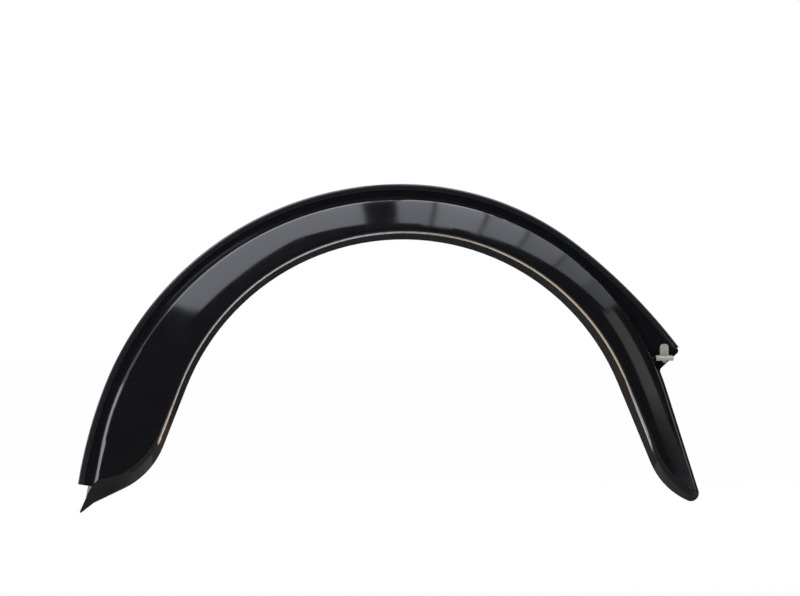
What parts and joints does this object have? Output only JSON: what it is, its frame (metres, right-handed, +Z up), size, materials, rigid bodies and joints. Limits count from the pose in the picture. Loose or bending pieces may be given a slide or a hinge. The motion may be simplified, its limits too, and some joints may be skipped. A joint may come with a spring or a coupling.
{
  "type": "wheel arch flare",
  "caption": "Curved hollow plastic flare that frames a car's wheel opening, with a rubber edge seal along its outer flange and a spring clip at its corner ear.",
  "frame": {"origin": "centre of the wheel opening in the plane of the car's body side, midway between the lower pair of screw bosses", "axes": "+X along the car towards the narrow leg, +Y into the car's body side, +Z up"},
  "size_m": [0.9351, 0.0494, 0.4933],
  "materials": {
    "black_abs": "glossy moulded black plastic with slight waviness",
    "black_rubber": "extruded black rubber with a soft sheen",
    "zinc_steel": "zinc-plated spring steel, pale and satin"
  },
  "bodies": {
    "root": {"arch_moulding": "black_abs", "edge_seal": "black_rubber", "corner_clip": "zinc_steel"}
  },
  "joints": []
}
